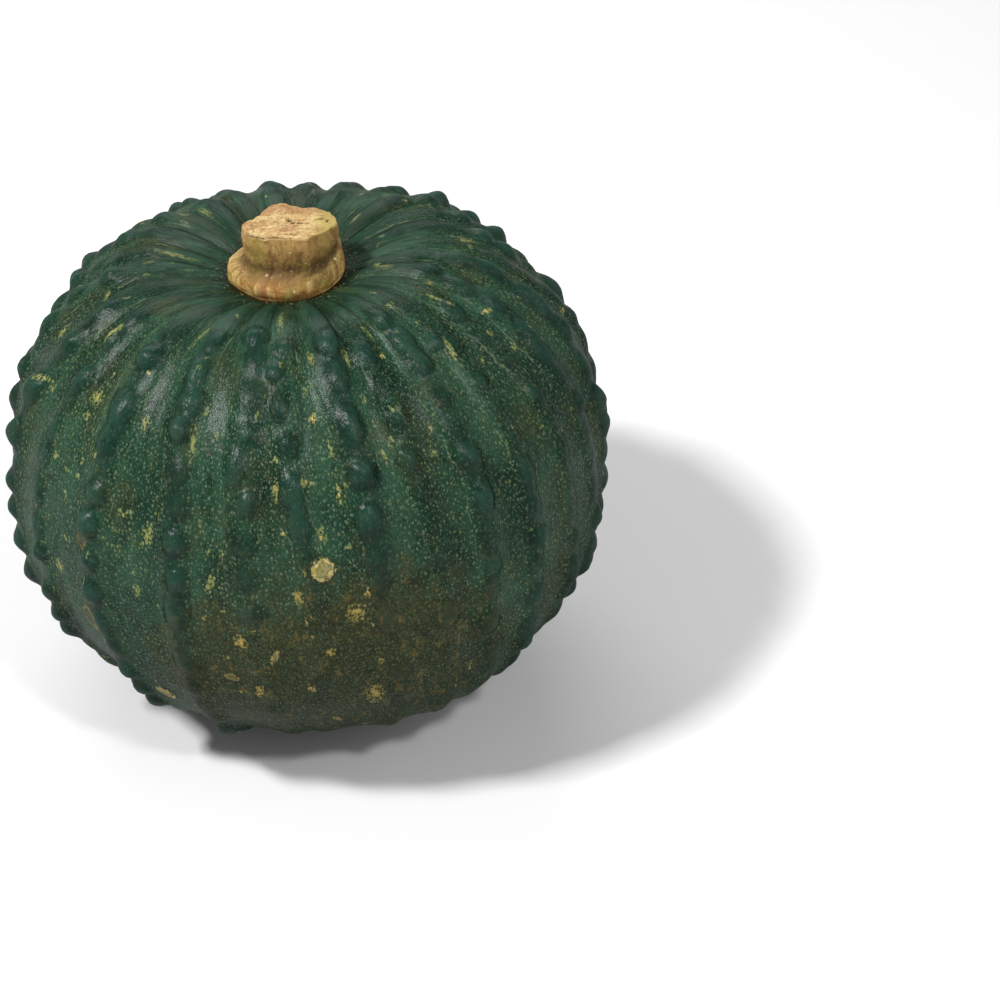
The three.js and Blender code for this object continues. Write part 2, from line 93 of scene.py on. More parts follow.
# Bumps with a place and size of their own: nearest ridge, degrees from the stem, sideways shift,
# height, half length and half width.
NOTED_BUMPS = [
    (-88, 37, 0, 2.2, 5.6, 5.2), (-88, 46, -2, 1.8, 5.0, 4.8), (-88, 54, 0, 2.0, 5.6, 4.8),
    (-71, 39, 0, 1.4, 6.5, 4.4), (-71, 48, 1, 2.2, 6.8, 4.8), (-71, 60, 0, 3.0, 6.2, 6.0),
    (-71, 81, -2, 2.5, 4.9, 5.2), (-71, 87, -2, 2.4, 4.9, 5.2), (-71, 94, 0, 2.4, 5.2, 5.0),
    (-57, 50, 0, 1.5, 5.2, 5.0), (-57, 97, 0, 2.2, 5.0, 5.0), (-57, 103, 1, 2.6, 4.8, 5.0),
    (-38, 51, 0, 2.2, 6.4, 6.0), (-38, 58, -1, 1.7, 5.6, 4.6), (-38, 107, 0, 2.4, 5.0, 5.0),
    (-38, 113, 0, 2.6, 5.0, 5.2), (-21, 34, 1, 1.0, 6.0, 3.2), (-21, 41, 0, 2.0, 6.4, 4.2),
    (-21, 72, 0, 2.2, 5.2, 5.0), (-21, 86, 0, 1.8, 7.6, 5.2), (-21, 98, 0, 1.7, 5.6, 5.2),
    (-6, 58, -3, 1.5, 6.6, 3.8), (-6, 64, 2, 1.9, 4.8, 4.2), (4, 40, -3, 1.7, 4.6, 3.6),
    (4, 47, -2, 1.2, 5.0, 3.6), (4, 54, 0, 1.3, 4.4, 4.0), (18, 43, 1, 1.4, 7.0, 4.0),
    (18, 52, 1, 1.5, 7.4, 4.4), (18, 61, 0, 2.7, 5.0, 5.0), (40, 34, -1, 1.5, 6.0, 4.0),
    (51, 43, -4, 1.8, 5.0, 4.4), (75, 45, 2, 2.0, 7.2, 5.0), (75, 54, 1, 1.8, 6.0, 4.8),
    (87, 43, 2, 2.0, 7.8, 5.0), (87, 52, 0, 2.2, 7.4, 5.0), (87, 62, 1, 2.2, 6.4, 5.2),
    (110, 66, 0, 2.4, 7.6, 5.6), (122, 55, 0, 3.0, 5.4, 5.4), (136, 41, -3, 2.2, 6.2, 6.0),
    (163, 43, 0, 1.8, 6.0, 5.0), (176, 41, 0, 1.8, 4.6, 4.4), (203, 42, 0, 1.6, 7.4, 5.6),
    (216, 42, 0, 2.2, 4.6, 4.6), (244, 52, 0, 2.6, 5.0, 5.2),
]

# --- Marks on the skin ---
# Flecks: longitude, degrees from the stem, half width and half length in mm, tilt in degrees, and
# warmth from 0 to 1.
FLECKS = [
    (-27, 33, 1.0, 5.0, 14, 0.1), (-31.5, 52.5, 1.7, 2.4, 0, 0.5), (-18, 54, 1.0, 6.2, -4, 0.2),
    (-26, 72, 1.9, 3.6, 10, 0.3), (-32, 69.5, 2.0, 1.2, 0, 0.5), (-32.5, 76, 0.9, 1.0, 0, 0.2),
    (-29, 84, 1.5, 2.2, 0, 0.6), (-14.5, 69, 0.9, 0.9, 0, 0.4), (-13.5, 79.5, 1.4, 3.6, 24, 0.3),
    (-10.5, 73, 0.7, 0.9, 0, 0.2), (-13.5, 73.2, 0.8, 0.8, 0, 0.2), (-9, 91.5, 2.4, 2.6, 30, 0.7),
    (-6, 89, 1.0, 0.8, 0, 0.3), (-11.5, 85, 0.9, 0.8, 0, 0.3), (-15.5, 87, 0.8, 1.0, 0, 0.3),
    (-12.5, 96, 1.2, 1.0, 0, 0.3), (-7.3, 105.2, 1.6, 1.6, 0, 0.9),
    (2.5, 27, 1.2, 6.5, 0, 0.0), (-3.5, 48.5, 0.7, 2.2, 0, 0.1),
    (8.7, 44.5, 0.9, 1.5, 0, 0.3), (11.8, 38, 1.0, 3.0, 0, 0.0), (9.7, 50, 1.3, 2.3, 0, 1.0),
    (0.2, 61.7, 1.0, 3.8, 10, 0.6), (0.5, 56.5, 1.4, 1.2, 0, 0.3), (6.5, 60.8, 2.2, 1.7, 0, 0.5),
    (12.4, 56, 0.7, 3.0, 0, 0.2), (12.5, 64, 0.8, 5.6, 4, 0.6), (8, 70.8, 1.7, 3.0, 0, 0.7),
    (1, 69.5, 1.2, 0.9, 0, 0.6), (4, 77, 0.8, 1.9, 0, 0.6), (12.8, 76.5, 0.7, 2.2, 0, 0.4),
    (12.8, 73.5, 1.5, 0.8, 0, 0.2), (2.5, 82, 1.7, 3.0, 0, 0.5), (3.6, 87, 0.5, 2.2, 12, 0.4),
    (12.5, 87, 3.0, 3.4, 20, 0.5), (15, 82.5, 0.9, 2.0, 0, 0.8), (15, 90, 0.8, 0.8, 0, 0.3),
    (14.5, 94, 0.5, 2.6, 0, 0.7), (7, 95, 1.5, 1.8, 0, 0.8), (4, 91, 0.7, 1.4, 0, 0.5),
    (-7, 103.5, 1.4, 1.6, 0, 0.8), (2.5, 104, 1.3, 2.2, 0, 1.0), (14.5, 109, 2.6, 5.0, 0, 0.4),
    (16, 99, 1.0, 1.2, 0, 0.9), (22.3, 39.5, 1.0, 4.2, -4, 0.2), (22.8, 48, 0.7, 1.6, 0, 0.2),
    (23, 53, 0.6, 1.6, 0, 0.2), (23.2, 59, 0.8, 2.6, -12, 0.3), (25.6, 56.5, 0.8, 1.2, 0, 0.1),
    (32.6, 41.2, 1.3, 1.4, 0, 0.9), (32.6, 35, 0.6, 4.2, -6, 0.2), (35, 57, 0.7, 2.2, 0, 0.9),
    (33.5, 61.5, 1.3, 1.0, 0, 0.5), (47.8, 32, 1.6, 1.1, 0, 0.2), (50.6, 46.5, 0.9, 5.4, 6, 0.6),
    (62.2, 37, 0.8, 3.4, -8, 0.3), (62.9, 39.8, 1.3, 1.3, 0, 0.4), (65.3, 49, 1.5, 1.5, 0, 0.6),
    (68, 54, 1.1, 1.5, 0, 0.6), (70.5, 46, 2.3, 1.0, 30, 0.9), (77, 23.6, 3.4, 2.2, -60, 0.0),
    (79.5, 34.5, 1.6, 1.0, 30, 0.3), (104, 40, 1.1, 3.8, -20, 0.3), (98, 40, 2.2, 0.9, 0, 0.4),
    (101, 55, 1.0, 4.0, -10, 0.6), (97, 63.5, 2.2, 1.2, 0, 0.6), (-57.2, 40.5, 1.5, 4.2, 4, 0.5),
    (-48.5, 52, 2.6, 2.6, 0, 0.3), (-48.5, 56, 1.7, 1.5, 0, 0.2), (-36, 43.7, 1.7, 0.7, 20, 1.0),
    (-40.8, 60.5, 0.9, 2.0, 0, 0.5), (-45, 66.5, 1.1, 1.0, 0, 0.3), (-48.8, 66.7, 0.9, 0.8, 0, 0.3),
    (-53.3, 65.8, 1.0, 1.5, 0, 0.4), (-48, 71.5, 1.0, 2.2, 0, 0.1), (-38.5, 79, 0.7, 1.2, 8, 0.3),
    (-47, 79.8, 2.0, 1.3, 0, 0.1), (-51, 88, 2.2, 2.6, 0, 0.5), (-39, 99, 1.0, 1.4, 14, 0.9),
    (-69.5, 57, 1.2, 4.6, 62, 0.5), (-80, 50.5, 2.2, 2.2, 0, 0.2), (-80, 39, 2.4, 1.1, 20, 0.1),
    (-92, 29.5, 2.8, 1.4, 30, 0.1), (-65, 56.5, 0.6, 3.2, 0, 0.9), (-100, 26, 1.2, 8.0, 6, 0.1),
    (-108, 30, 0.8, 4.0, 0, 0.1), (-139, 30, 1.0, 4.5, 0, 0.1), (-132, 33, 1.0, 3.2, 0, 0.2),
]
# Healed corky wounds, listed in the same way, with their paleness in place of warmth.
SCARS = [
    (7.5, 76.9, 3.3, 3.3, 0, 1.0), (-30.2, 112.6, 2.6, 3.5, -52, 0.8), (-41.3, 76.9, 2.5, 3.8, 4, 0.1),
    (-43.5, 96.5, 3.2, 4.4, -14, 0.3), (-3.2, 95.1, 1.0, 3.0, 24, 0.6), (-12.2, 101.1, 2.4, 1.4, 12, 0.5),
    (148, 84, 2.4, 3.0, 20, 0.8), (-128, 101, 1.6, 3.4, -10, 0.5), (94, 108, 2.0, 1.6, 0, 0.6),
]
SCAR_HEIGHT = 0.66  # how far the palest scar stands out
FLECK_MARGIN = 3.0  # mm round a fleck or scar over which its coordinates are kept
BARE = np.array((9.0, 9.0, 0.0))  # what the fields hold away from every fleck and scar
STREWN_FLECKS = 260
SEEN_SIDE = (-110, 112)  # longitudes where the listed flecks stand, and strewn ones are smaller
# Where the skin weathered to bronze: longitude, degrees from the stem, and reach of both in degrees.
WEATHERED = (8, 104, 34, 26)

# --- The stem, as in the part's source ---
SEAT_HEIGHT = 66.3
SEAT_WALL = 1.0
STEM_GAP = 0.3
STEM_HEIGHT = 18.8
COLLAR_OUTLINE = [
    (12, 18.0), (60, 16.8), (110, 16.6), (150, 17.2), (188, 18.0),
    (224, 17.0), (253, 18.0), (273, 18.8), (305, 19.6), (338, 19.4),
]
NECK_OUTLINE = [
    (28, 14.0), (76, 10.4), (112, 11.2), (150, 11.6), (190, 14.5),
    (216, 14.4), (258, 12.6), (307, 14.9), (347, 15.0),
]
NECK_OFFSET = (2.9, -1.8)
FOOT_SIZE = 0.88
CUT_TILT = (-0.005, -0.11)
STEM_LEVELS = [  # height, collar (0) to neck (1), size of that outline
    (0.0, 0.0, FOOT_SIZE), (1.4, 0.0, 0.91), (2.5, 0.0, 0.955), (3.5, 0.0, 0.98), (4.7, 0.0, 0.975),
    (5.8, 0.1, 0.965), (6.6, 0.32, 0.965), (7.3, 0.6, 0.965), (8.2, 0.85, 0.98), (9.6, 1.0, 0.99),
    (12.6, 1.0, 0.99), (16.0, 1.0, 1.0), (18.2, 1.0, 0.995),
]
COLLAR_CLIMB = (20, 46, 4.6)  # heading, spread in degrees and height
FOOT_SPREAD = 0.9  # how far the dressed foot reaches out into the skin, where it has grown on
WAIST = (7.4, 3.3)  # height of the dark waist over the collar, partly dirt and partly painted shade, and its half width
CUT_CRACK = (245, 60, 0.94)  # where the bark parts from the wood: heading, spread and size
CRACK_WIDTH = 0.035  # as a share of the cut's size
CUT_PITS = [  # dark pits in the cut: place and half sizes, in mm
    (3.2, 0.0, 1.2, 0.9), (4.2, -2.0, 0.6, 0.5), (6.5, -2.3, 0.9, 0.7), (12.0, -0.9, 1.5, 0.7),
    (0.4, -3.6, 1.2, 0.4), (14.8, -2.7, 0.5, 0.8), (9.2, -6.4, 0.5, 0.4), (-3.2, 3.4, 0.5, 0.5),
]
CUT_CORNER = (112, 30, 1.8)  # heading, spread in degrees and height

# --- Fineness of the dressed meshes ---
SKIN_COLUMNS = 438
SKIN_ROWS = 222
SKIN_END = math.radians(178.2)  # angle from the stem of the last ring of the skin
SEAM = math.radians(169.5)  # longitude, in a furrow at the back, where the skin's flat map starts
STEM_COLUMNS = 320
STEM_SIDE_ROWS = 130
CUT_ROWS = 66

# --- Camera: how the squash is seen ---
CAMERA_ELEVATION = math.radians(36)
LENS = 86.4
SENSOR = 36.0
DISTANCE = 774 * MM
PICTURE = 1000  # pixels across the square picture
SQUASH_MIDDLE = (309.7, 452.0)  # where the fruit's centre is seen, in those pixels


# ---------------------------------------------------------------- shape

def make_random(seed):
    """Mulberry32, the part's own seeded generator of numbers from 0 to 1."""
    state = seed & 0xFFFFFFFF
    while True:
        state = (state + 0x6D2B79F5) & 0xFFFFFFFF
        t = state
        t = ((t ^ (t >> 15)) * (t | 1)) & 0xFFFFFFFF
        t ^= (t + (((t ^ (t >> 7)) * (t | 61)) & 0xFFFFFFFF)) & 0xFFFFFFFF
        yield ((t ^ (t >> 14)) & 0xFFFFFFFF) / 4294967296


def lerp(low, high, share):
    return low + (high - low) * share


def smooth(value, low, high):
    share = np.clip((value - low) / (high - low), 0, 1)
    return share * share * (3 - 2 * share)


def fade(angle, start, end):
    """A smooth step between two angles, given in degrees."""
    return smooth(angle, math.radians(start), math.radians(end))


def turn(start, end):
    """Signed difference between two longitudes, the short way round."""
    return np.arctan2(np.sin(end - start), np.cos(end - start))


def plain_radius(from_stem):
    half_height = np.where(from_stem < math.pi / 2, HALF_HEIGHT_ABOVE, HALF_HEIGHT_BELOW)
    across = np.abs(np.sin(from_stem)) / EQUATOR_RADIUS
    along = np.abs(np.cos(from_stem)) / half_height
    body = (across**SQUARENESS + along**SQUARENESS) ** (-1 / SQUARENESS)
    depth, reach = STEM_HOLLOW
    stem = depth * np.exp(-((from_stem / math.radians(reach)) ** 4))
    depth, reach = BLOSSOM_HOLLOW
    blossom = depth * np.exp(-(((math.pi - from_stem) / math.radians(reach)) ** 2))
    return body - stem - blossom


def direction(longitude, from_stem):
    side = np.sin(from_stem)
    return np.stack([side * np.sin(longitude), -side * np.cos(longitude), np.cos(from_stem)], -1)


def swell_at(longitude, from_stem):
    here = direction(longitude, from_stem)
    total = np.zeros(np.shape(longitude))
    for there_longitude, there_angle, spread, height in SWELLS:
        there = direction(np.radians(there_longitude), np.radians(there_angle))
        away = np.arccos(np.clip(here @ there, -1, 1)) * EQUATOR_RADIUS
        total += height * np.exp(-((away / spread) ** 2))
    return total


def make_ridges():
    """Every ridge with its own string of bumps, drawn in the same order as in the part's source."""
    random = make_random(SEED)

    def draw():
        return next(random)

    ridges = []
    for index, (degrees, near_stem, middle, low, width) in enumerate(RIDGES):
        longitude = math.radians(degrees)
        before = float(turn(math.radians(RIDGES[index - 1][0]), longitude))
        after = float(turn(longitude, math.radians(RIDGES[(index + 1) % len(RIDGES)][0])))
        phase = (draw() - 0.5) * BUMP_STEP
        waves = (draw() * 2 * math.pi, draw() * 2 * math.pi)
        bumps = []
        for number in range(BUMPS_PER_RIDGE):
            shift = (draw() * 2 - 1) * BUMP_SHIFT[0] / MERIDIAN_RADIUS
            from_stem = math.radians(FIRST_BUMP) + (number + 0.5) * BUMP_STEP + phase + shift
            across = (draw() * 2 - 1) * BUMP_SHIFT[1]
            height = lerp(*BUMP_HEIGHT, draw() ** 1.7)
            half_length = lerp(*BUMP_HALF_LENGTH, draw())
            half_width = lerp(*BUMP_HALF_WIDTH, draw())
            bumps.append((from_stem, across, height, half_length, half_width))
        ridge = {
            "longitude": longitude, "near_stem": near_stem, "middle": middle, "low": low, "width": width,
            "before": before, "after": after, "waves": waves,
        }
        ridge["bumps"] = [
            (at, across, height * float(strength_at(ridge, at) * bump_fade(at)), half_length, half_width)
            for at, across, height, half_length, half_width in bumps
        ]
        ridges.append(ridge)
    for degrees, at, *sizes in NOTED_BUMPS:
        ridge = next(one for one in ridges if abs(one["longitude"] - math.radians(degrees)) < 0.01)
        away = [abs(bump[0] - math.radians(at)) for bump in ridge["bumps"]]
        ridge["bumps"][away.index(min(away))] = (math.radians(at), *sizes)
    return ridges


def strength_at(ridge, from_stem):
    upper = lerp(ridge["near_stem"], ridge["middle"], fade(from_stem, 28, 52))
    return lerp(upper, ridge["low"], fade(from_stem, 70, 94))


def bump_fade(from_stem):
    """How much of their height the bumps keep: they fade out towards both ends."""
    return fade(from_stem, 25, 40) * (1 - 0.9 * fade(from_stem, 124, 154))


def ridge_line(ridge, from_stem):
    """Longitude of a ridge's crest, which wanders a little between the two ends."""
    long_wave, short_wave = ridge["waves"]
    stray = np.sin(3.1 * from_stem + long_wave) + 0.6 * np.sin(7.3 * from_stem + short_wave)
    free = fade(from_stem, 20, 50) * fade(math.pi - from_stem, 20, 50)
    return ridge["longitude"] + free * RIDGE_WANDER * stray / EQUATOR_RADIUS


def ridge_height(from_stem):
    stem, middle, blossom = RIDGE_HEIGHT
    upper = lerp(stem, middle, fade(from_stem, 26, 55))
    return lerp(upper, blossom, fade(from_stem, 120, 156)) * fade(from_stem, 15, 22)


def ridge_profile(ridge, from_stem, across, ring):
    """Round lobes that meet in creases near the stem, then a band with steep sides."""
    room = np.where(across < 0, ridge["before"], ridge["after"]) * ring
    lobe = np.maximum(0, 1 - (2 * across / room) ** 2)
    space = (ridge["before"] + ridge["after"]) * ring
    half_width = ridge["width"] * np.minimum(RIDGE_HALF_WIDTH, 0.2 * space)
    band = np.exp(-(np.abs(across / half_width) ** 3))
    return lerp(lobe, band, fade(from_stem, 26, 46))


def relief_at(longitude, from_stem, ridges):
    """Height of the ridges and of the bumps over the plain surface, apart."""
    ring = np.maximum(plain_radius(from_stem) * np.sin(from_stem), 1e-6)
    ridge_part = np.zeros(np.shape(longitude))
    bump_part = np.zeros(np.shape(longitude))
    height = ridge_height(from_stem)
    for ridge in ridges:
        across = turn(ridge_line(ridge, from_stem), longitude) * ring
        near = np.abs(across) <= 3 * RIDGE_HALF_WIDTH
        strength = strength_at(ridge, from_stem) * height
        ridge_part += np.where(near, strength * ridge_profile(ridge, from_stem, across, ring), 0)
        for bump_from_stem, bump_across, bump_height, half_length, half_width in ridge["bumps"]:
            along = (from_stem - bump_from_stem) * MERIDIAN_RADIUS / half_length
            width = np.minimum(half_width, 0.28 * (ridge["before"] + ridge["after"]) * ring)
            away = along**2 + ((across - bump_across) / width) ** 2
            bump_part += bump_height * np.clip(1 - away, 0, 1) ** 1.5
    return ridge_part, bump_part


def place(points):
    """From the fruit's own frame, in mm, to the world, in metres."""
    x, y, z = points[..., 0], points[..., 1], points[..., 2]
    leaned = np.stack([
        x * math.cos(LEAN) + z * math.sin(LEAN),
        y,
        -x * math.sin(LEAN) + z * math.cos(LEAN),
    ], -1)
    return (leaned + CENTRE) * MM


def outline_radius(outline, heading):
    """Radius of a closed outline at a direction in radians: smooth between its points."""
    degrees = np.degrees(heading) % 360
    angles = np.array([point[0] for point in outline], float)
    radii = np.array([point[1] for point in outline])
    angles = np.concatenate([[angles[-1] - 360], angles, [angles[0] + 360]])
    radii = np.concatenate([[radii[-1]], radii, [radii[0]]])
    after = np.searchsorted(angles, degrees, side="right")
    share = (degrees - angles[after - 1]) / (angles[after] - angles[after - 1])
    return lerp(radii[after - 1], radii[after], (1 - np.cos(np.pi * share)) / 2)


def lattice_noise(points, seed):
    """Smooth noise from -1 to 1 in three dimensions, one lump for each unit."""
    cell = np.floor(points).astype(np.int64)
    share = points - cell
    share = share * share * share * (share * (share * 6 - 15) + 10)
    total = np.zeros(points.shape[:-1])
    for corner in range(8):
        step = np.array([(corner >> axis) & 1 for axis in range(3)])
        x, y, z = np.moveaxis(cell + step, -1, 0)
        key = (x * 73856093) ^ (y * 19349663) ^ (z * 83492791) ^ (seed * 2654435761)
        key = (key ^ (key >> 13)) * 1274126177 & 0xFFFFFFFF
        key = (key ^ (key >> 16)) & 0xFFFFFF
        weight = np.prod(np.where(step == 1, share, 1 - share), -1)
        total += weight * (key / 0x7FFFFF - 1)
    return total


def layered_noise(points, seed, octaves=3):
    total = np.zeros(points.shape[:-1])
    for octave in range(octaves):
        total += lattice_noise(points * 2**octave, seed + octave) / 2**octave
    return total


# ---------------------------------------------------------------- meshes

def linked(name, data):
    """A new object in the scene that shows the data."""
    thing = bpy.data.objects.new(name, data)
    bpy.context.collection.objects.link(thing)
    return thing


def add_mesh(name, top, rings, bottom, fields, flat_map=None):
    """A smooth closed mesh from rings of points.

    fields are values by name, for the top, every ring and the bottom. flat_map holds a flat place for
    every point of the rings, with one more column for the far side of the seam.
    """
    rows, columns = rings.shape[:2]
    points = np.concatenate([top[None], rings.reshape(-1, 3), bottom[None]])
    start = 1 + np.arange(rows)[:, None] * columns + np.arange(columns)[None]
    after = np.roll(start, -1, axis=1)
    faces = np.stack([start[:-1], start[1:], after[1:], after[:-1]], -1).reshape(-1, 4).tolist()
    faces += [[0, int(a), int(b)] for a, b in zip(start[0], after[0])]
    faces += [[len(points) - 1, int(b), int(a)] for a, b in zip(start[-1], after[-1])]
    mesh = bpy.data.meshes.new(name)
    mesh.from_pydata(points.tolist(), [], faces)
    mesh.polygons.foreach_set("use_smooth", np.ones(len(faces), bool))
    for field, values in fields.items():
        kind, key = ("FLOAT_VECTOR", "vector") if values[1].ndim == 3 else ("FLOAT", "value")
        flat = np.concatenate([np.ravel(value) for value in values])
        mesh.attributes.new(field, kind, "POINT").data.foreach_set(key, flat.astype(np.float32))
    if flat_map is not None:
        add_flat_map(mesh, rows, columns, flat_map)
    mesh.update()
    return linked(name, mesh)


def add_flat_map(mesh, rows, columns, flat_map):
    """Flat places, held by the corners of the faces so that they can part at the seam."""
    corners = np.array([loop.vertex_index for loop in mesh.loops]) - 1
    faces = np.repeat(np.arange(len(mesh.polygons)), [len(face.vertices) for face in mesh.polygons])
    quads = (rows - 1) * columns
    ring = np.clip(corners // columns, 0, rows - 1)
    column = corners % columns
    last = np.where(faces < quads, faces % columns, (faces - quads) % columns) == columns - 1
    column = np.where(last & (column == 0), columns, column)
    places = np.zeros((len(corners), 3))
    places[:, :2] = flat_map[ring, column]
    layer = mesh.attributes.new("flat", "FLOAT_VECTOR", "CORNER")
    layer.data.foreach_set("vector", places.astype(np.float32).reshape(-1))


def seat_radius(longitude):
    return FOOT_SIZE * outline_radius(COLLAR_OUTLINE, longitude - math.pi / 2) + STEM_GAP


def strewn_flecks():
    """Small flecks drawn by chance all over the fruit, drawn out along the ridges."""
    random = make_random(SEED + 7)

    def draw(low=0.0, high=1.0):
        return lerp(low, high, next(random))

    flecks = []
    for _ in range(STREWN_FLECKS):
        longitude = draw(-180, 180)
        from_stem = math.degrees(math.acos(draw(-0.93, 0.93)))
        seen = SEEN_SIDE[0] < longitude < SEEN_SIDE[1] and from_stem < 115
        small = draw() ** 2
        half_width = lerp(0.5, 0.9 if seen else 2.2, small)
        half_length = half_width * draw(0.8, 3.4 if small < 0.5 else 1.8)
        tilt = draw(-25, 25)
        flecks.append((longitude, from_stem, half_width, half_length, tilt, 0.6 * draw() ** 2))
    return flecks


def patch_field(longitude, from_stem, patches):
    """For every point, how far across and along the nearest patch it lies, in half sizes, and the tint.

    The distances have no sign, so that between a patch's margin and the bare skin none passes zero.
    """
    field = np.broadcast_to(BARE, longitude.shape + (3,)).copy()
    nearest = np.full(longitude.shape, np.inf)
    for degrees, patch_from_stem, half_width, half_length, tilt, tint in patches:
        centre = math.radians(patch_from_stem)
        ring = float(plain_radius(np.array(centre))) * math.sin(centre)
        east = turn(math.radians(degrees), longitude) * ring
        south = (from_stem - centre) * MERIDIAN_RADIUS
        lean = math.radians(tilt)
        across = east * math.cos(lean) + south * math.sin(lean)
        along = south * math.cos(lean) - east * math.sin(lean)
        past_side = np.maximum(np.abs(across) - half_width, 0)
        past = np.hypot(past_side, np.maximum(np.abs(along) - half_length, 0))
        own = (past < FLECK_MARGIN) & (past < nearest)
        nearest[own] = past[own]
        field[own, 0] = np.abs(across / half_width)[own]
        field[own, 1] = np.abs(along / half_length)[own]
        field[own, 2] = tint
    return field


def weathered_share(longitude, from_stem):
    """How far into the weathered part a point lies, from 0 to 1."""
    centre, level, reach_east, reach_south = WEATHERED
    east = np.degrees(turn(math.radians(centre), longitude)) / reach_east
    south = (np.degrees(from_stem) - level) / reach_south
    return np.exp(-(east**2) - south**2)


def skin_grid():
    """Longitudes and angles from the stem of the skin's rings, and the angle where the seat cuts it off."""
    longitude = SEAM + np.linspace(0, 2 * math.pi, SKIN_COLUMNS, endpoint=False)[None]
    edge = np.arctan(seat_radius(longitude) / (SEAT_HEIGHT + SEAT_WALL))
    share = np.linspace(0, 1, SKIN_ROWS)[:, None]
    from_stem = edge + (SKIN_END - edge) * share
    return np.broadcast_to(longitude, from_stem.shape), from_stem, edge


def skin_flat_map(from_stem):
    """A flat place in mm for every point of the rings: round the fruit, and down from the stem."""
    down = MERIDIAN_RADIUS * np.concatenate([from_stem[:1], from_stem])
    down = np.concatenate([down, down[:, :1]], 1)
    around = EQUATOR_RADIUS * np.linspace(0, 2 * math.pi, SKIN_COLUMNS + 1)
    return np.stack([np.broadcast_to(around, down.shape), down], -1)


def make_fruit(ridges):
    longitude, from_stem, edge = skin_grid()
    ridge_part, bump_part = relief_at(longitude, from_stem, ridges)
    scars = patch_field(longitude, from_stem, SCARS)
    scar_part = SCAR_HEIGHT * scars[..., 2] * smooth(np.hypot(scars[..., 0], scars[..., 1]), 1.15, 0.75)
    relief = swell_at(longitude, from_stem) + ridge_part + bump_part + scar_part
    rings = direction(longitude, from_stem) * (plain_radius(from_stem) + relief)[..., None]
    round_stem = longitude[0]
    seat = direction(round_stem, np.full(SKIN_COLUMNS, math.pi / 2)) * seat_radius(round_stem)[:, None]
    seat[:, 2] = SEAT_HEIGHT
    world = place(np.concatenate([seat[None], rings]))
    world[..., 2] = np.maximum(world[..., 2], 0)

    def field(values, end=None):
        """Values for the mesh: one at the top, the rings with the seat's, and one at the bottom."""
        top, bottom = (values[0].mean(0), values[-1].mean(0)) if end is None else (end, end)
        return top, np.concatenate([values[:1], values]), bottom

    unrolled = np.stack([
        EQUATOR_RADIUS * np.cos(longitude),
        EQUATOR_RADIUS * np.sin(longitude),
        MERIDIAN_RADIUS * from_stem,
    ], -1)
    fields = {
        "unrolled": field(unrolled),
        "ridge": field(ridge_part),
        "bump": field(bump_part),
        "from_stem": field(np.degrees(from_stem)),
        "weathered": field(weathered_share(longitude, from_stem)),
        "collar_gap": field(HOLLOW_RADIUS * (from_stem - edge)),
        "fleck": field(patch_field(longitude, from_stem, strewn_flecks() + FLECKS), BARE),
        "scar": field(scars, BARE),
    }
    top = place(np.array((0.0, 0.0, SEAT_HEIGHT)))
    bottom = place(np.array((0.0, 0.0, -plain_radius(np.array(math.pi)))))
    piece = add_mesh("kabocha_rind", top, world, bottom, fields, skin_flat_map(from_stem))
    piece.data.materials.append(rind_material())
    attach(piece, "root")
    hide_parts("fruit")


def stem_profile(rows):
    """Levels up the stem's side, at even steps along a smooth curve through the CAD model's levels."""
    levels = np.array(STEM_LEVELS)
    padded = np.concatenate([levels[:1], levels, levels[-1:]])
    at = np.linspace(0, len(levels) - 1, rows)
    piece = np.minimum(at.astype(int), len(levels) - 2)
    share = (at - piece)[:, None]
    a, b, c, d = (padded[piece + step] for step in range(4))
    bend = (2 * a - 5 * b + 4 * c - d) * share**2 + (3 * b - a - 3 * c + d) * share**3
    return 0.5 * (2 * b + (c - a) * share + bend)


def near_heading(heading, middle, spread):
    """A bell-shaped share round a middle heading, given with its spread in degrees."""
    return np.exp(-((turn(math.radians(middle), heading) / math.radians(spread)) ** 2))


def stem_relief(around, height, on_roll):
    """How far the stem's side stands out: flutes and lumps on the collar, worn ribs on the neck."""
    flutes = layered_noise(around * (0.42, 0.42, 0.04), 11, 3)
    lumps = layered_noise(around * (0.15, 0.15, 0.15), 12, 2)
    ribs = layered_noise(around * (0.3, 0.3, 0.05), 13, 3)
    wear = layered_noise(around * (0.8, 0.8, 0.5), 14, 3)
    collar = 0.34 * flutes + 0.4 * lumps
    neck = 0.42 * ribs + 0.25 * lumps + 0.12 * wear
    return lerp(neck, collar, on_roll) * smooth(height, -0.2, 1.5)


def cut_relief(x, y, size):
    """How far the cut stands up, with torn fibres, a crack and pits, and how dark it is."""
    fibres = layered_noise(np.stack([x * 0.22, y * 0.75, x * 0], -1), 15, 4)
    grain = layered_noise(np.stack([x * 0.9, y * 1.6, x * 0], -1), 16, 3)
    heading = np.arctan2(y - NECK_OFFSET[1], x - NECK_OFFSET[0])
    wander = layered_noise(np.stack([np.cos(heading) * 3, np.sin(heading) * 3, x * 0], -1), 17, 3)
    crack_heading, crack_spread, crack_size = CUT_CRACK
    crack = np.exp(-(((size - crack_size + 0.02 * wander) / CRACK_WIDTH) ** 2))
    crack = crack * near_heading(heading, crack_heading, crack_spread) * smooth(wander, -0.8, 0.0)
    pits = np.zeros(x.shape)
    for pit_x, pit_y, half_x, half_y in CUT_PITS:
        away = ((x - pit_x) / half_x) ** 2 + ((y - pit_y) / half_y) ** 2
        pits = np.maximum(pits, smooth(1.3 - away + 0.6 * grain, 0, 0.9))
    inner = smooth(size, 1.0, 0.93)
    relief = inner * (0.42 * fibres + 0.16 * grain) - 0.9 * crack - 1.1 * pits
    return relief, np.maximum(pits, smooth(crack, 0.2, 0.55))


